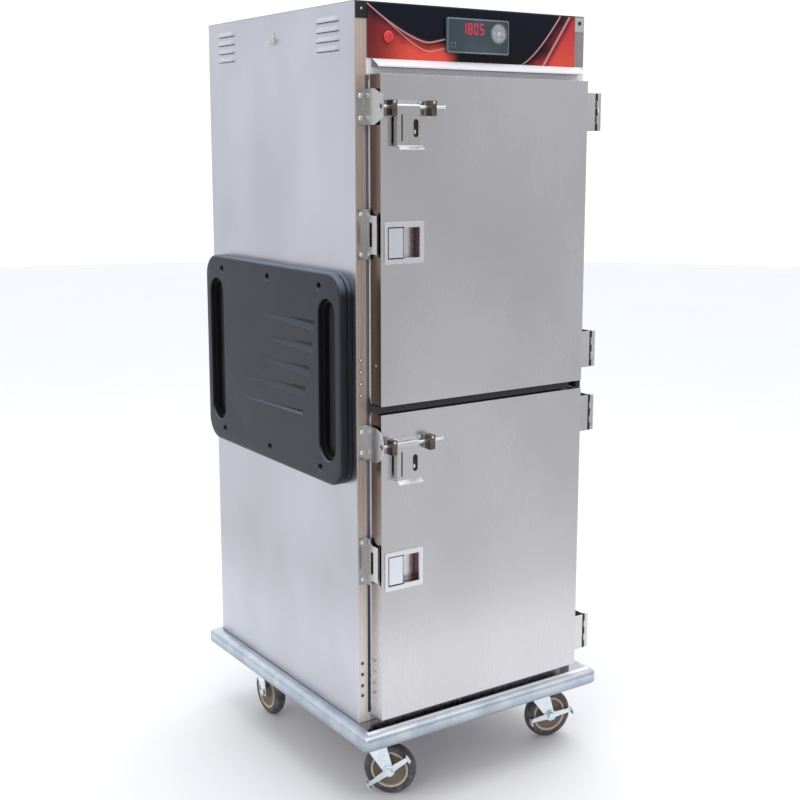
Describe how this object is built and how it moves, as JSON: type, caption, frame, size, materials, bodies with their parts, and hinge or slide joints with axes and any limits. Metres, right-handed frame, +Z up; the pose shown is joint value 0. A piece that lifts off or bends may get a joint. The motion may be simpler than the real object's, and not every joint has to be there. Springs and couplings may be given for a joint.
{
  "type": "proofing cabinet",
  "caption": "Tall mobile stainless proofing cabinet with two stacked hinged doors, top control panel, side grip panels, bumper and swivel casters.",
  "frame": {"origin": "on the floor, under the middle of the cabinet's overall box", "axes": "+Z up, -Y towards the doors, +X towards the hinge side"},
  "size_m": [0.714, 0.8274, 1.848],
  "materials": {
    "stainless": "satin",
    "liner_steel": "satin",
    "dark_stainless": "satin",
    "zinc_plated": "satin",
    "anodised_aluminium": "satin",
    "insulation": "matte",
    "gasket_rubber": "matte",
    "black_polymer": "matte",
    "panel_graphic": "gloss",
    "controller_plastic": "satin",
    "silver_key": "satin",
    "red_lens": "gloss",
    "caster_tyre": "matte",
    "heater_metal": "matte"
  },
  "bodies": {
    "cabinet": {"outer_wrap": "stainless", "top_panel": "stainless", "face_frame": "stainless", "inner_liner": "liner_steel", "insulation_blanket": "insulation", "left_slide_rack": "liner_steel", "right_slide_rack": "liner_steel", "heater_cover": "liner_steel", "heating_element": "heater_metal", "water_pan": "liner_steel", "control_panel": "panel_graphic", "controller_bezel": "controller_plastic", "awning": "stainless", "left_handle_panel": "black_polymer", "right_handle_panel": "black_polymer", "base_frame": "dark_stainless", "bumper": "anodised_aluminium", "power_inlet": "black_polymer", "lower_bolt_keeper": "stainless", "lower_latch_strike": "stainless", "lower_hinge_frame_leaf_low": "stainless", "lower_hinge_frame_leaf_high": "stainless", "upper_bolt_keeper": "stainless", "upper_latch_strike": "stainless", "upper_hinge_frame_leaf_low": "stainless", "upper_hinge_frame_leaf_high": "stainless"},
    "keypad": {"keypad_button": "silver_key"},
    "switch": {"power_switch": "red_lens"},
    "blower": {"blower_wheel": "zinc_plated"},
    "upper_door": {"upper_door_outer_pan": "stainless", "upper_door_inner_pan": "liner_steel", "upper_door_gasket": "gasket_rubber", "upper_hinge_door_leaf_low": "stainless", "upper_hinge_door_leaf_high": "stainless", "upper_paddle_housing": "stainless", "upper_bolt_guide": "stainless"},
    "upper_paddle": {"upper_paddle": "stainless"},
    "upper_bolt": {"upper_slide_bolt": "zinc_plated"},
    "upper_hasp": {"upper_padlock_hasp": "stainless"},
    "lower_door": {"lower_door_outer_pan": "stainless", "lower_door_inner_pan": "liner_steel", "lower_door_gasket": "gasket_rubber", "lower_hinge_door_leaf_low": "stainless", "lower_hinge_door_leaf_high": "stainless", "lower_paddle_housing": "stainless", "lower_bolt_guide": "stainless"},
    "lower_paddle": {"lower_paddle": "stainless"},
    "lower_bolt": {"lower_slide_bolt": "zinc_plated"},
    "lower_hasp": {"lower_padlock_hasp": "stainless"},
    "front_left_caster": {"front_left_caster_fork": "zinc_plated"},
    "front_left_wheel": {"front_left_wheel": "caster_tyre"},
    "front_left_brake": {"front_left_brake_lever": "zinc_plated"},
    "front_right_caster": {"front_right_caster_fork": "zinc_plated"},
    "front_right_wheel": {"front_right_wheel": "caster_tyre"},
    "front_right_brake": {"front_right_brake_lever": "zinc_plated"},
    "rear_left_caster": {"rear_left_caster_fork": "zinc_plated"},
    "rear_left_wheel": {"rear_left_wheel": "caster_tyre"},
    "rear_right_caster": {"rear_right_caster_fork": "zinc_plated"},
    "rear_right_wheel": {"rear_right_wheel": "caster_tyre"}
  },
  "joints": [
    {"name": "upper_door_hinge", "type": "hinge", "parent": "cabinet", "child": "upper_door", "pos_m": [0.334, -0.3766, 0.973], "axis": [0, 0, 1], "range_deg": [0, 180]},
    {"name": "upper_paddle_pull", "type": "hinge", "parent": "upper_door", "child": "upper_paddle", "pos_m": [-0.2745, -0.3831, 1.3335], "axis": [0, 0, -1], "range_deg": [0, 32], "stiffness_Nm_per_rad": 0.25},
    {"name": "upper_bolt_slide", "type": "slide", "parent": "upper_door", "child": "upper_bolt", "axis": [-1, 0, 0], "range_m": [0, 0.018]},
    {"name": "upper_hasp_swing", "type": "hinge", "parent": "upper_door", "child": "upper_hasp", "pos_m": [-0.266, -0.3971, 1.625], "axis": [-1, 0, 0], "range_deg": [0, 110]},
    {"name": "lower_door_hinge", "type": "hinge", "parent": "cabinet", "child": "lower_door", "pos_m": [0.334, -0.3766, 0.2345], "axis": [0, 0, 1], "range_deg": [0, 180]},
    {"name": "lower_paddle_pull", "type": "hinge", "parent": "lower_door", "child": "lower_paddle", "pos_m": [-0.2745, -0.3831, 0.589], "axis": [0, 0, -1], "range_deg": [0, 32], "stiffness_Nm_per_rad": 0.25},
    {"name": "lower_bolt_slide", "type": "slide", "parent": "lower_door", "child": "lower_bolt", "axis": [-1, 0, 0], "range_m": [0, 0.018]},
    {"name": "lower_hasp_swing", "type": "hinge", "parent": "lower_door", "child": "lower_hasp", "pos_m": [-0.266, -0.3971, 0.885], "axis": [-1, 0, 0], "range_deg": [0, 110]},
    {"name": "keypad_press", "type": "slide", "parent": "cabinet", "child": "keypad", "axis": [0, 1, 0], "range_m": [0, 0.0008], "stiffness_N_per_m": 900},
    {"name": "switch_press", "type": "slide", "parent": "cabinet", "child": "switch", "axis": [0, 1, 0], "range_m": [0, 0.002], "stiffness_N_per_m": 500},
    {"name": "blower_spin", "type": "hinge", "parent": "cabinet", "child": "blower", "pos_m": [0, 0.1559, 0.27], "axis": [0, 0, 1], "continuous": true},
    {"name": "front_left_swivel", "type": "hinge", "parent": "cabinet", "child": "front_left_caster", "pos_m": [-0.25, -0.2741, 0.15], "axis": [0, 0, 1], "continuous": true},
    {"name": "front_left_wheel_spin", "type": "hinge", "parent": "front_left_caster", "child": "front_left_wheel", "pos_m": [-0.21928, -0.30274, 0.0635], "axis": [0.682, 0.7314, 0], "continuous": true},
    {"name": "front_left_brake_press", "type": "hinge", "parent": "front_left_caster", "child": "front_left_brake", "pos_m": [-0.21928, -0.30274, 0.0635], "axis": [0.682, 0.7314, 0], "range_deg": [0, 24]},
    {"name": "front_right_swivel", "type": "hinge", "parent": "cabinet", "child": "front_right_caster", "pos_m": [0.25, -0.2741, 0.15], "axis": [0, 0, 1], "continuous": true},
    {"name": "front_right_wheel_spin", "type": "hinge", "parent": "front_right_caster", "child": "front_right_wheel", "pos_m": [0.29092, -0.28355, 0.0635], "axis": [0.225, 0.9744, 0], "continuous": true},
    {"name": "front_right_brake_press", "type": "hinge", "parent": "front_right_caster", "child": "front_right_brake", "pos_m": [0.29092, -0.28355, 0.0635], "axis": [-0.225, -0.9744, 0], "range_deg": [0, 24]},
    {"name": "rear_left_swivel", "type": "hinge", "parent": "cabinet", "child": "rear_left_caster", "pos_m": [-0.25, 0.2879, 0.15], "axis": [0, 0, 1], "continuous": true},
    {"name": "rear_left_wheel_spin", "type": "hinge", "parent": "rear_left_caster", "child": "rear_left_wheel", "pos_m": [-0.25, 0.2459, 0.0635], "axis": [1, 0, 0], "continuous": true},
    {"name": "rear_right_swivel", "type": "hinge", "parent": "cabinet", "child": "rear_right_caster", "pos_m": [0.25, 0.2879, 0.15], "axis": [0, 0, 1], "continuous": true},
    {"name": "rear_right_wheel_spin", "type": "hinge", "parent": "rear_right_caster", "child": "rear_right_wheel", "pos_m": [0.26298, 0.24796, 0.0635], "axis": [0.9511, 0.309, 0], "continuous": true}
  ]
}
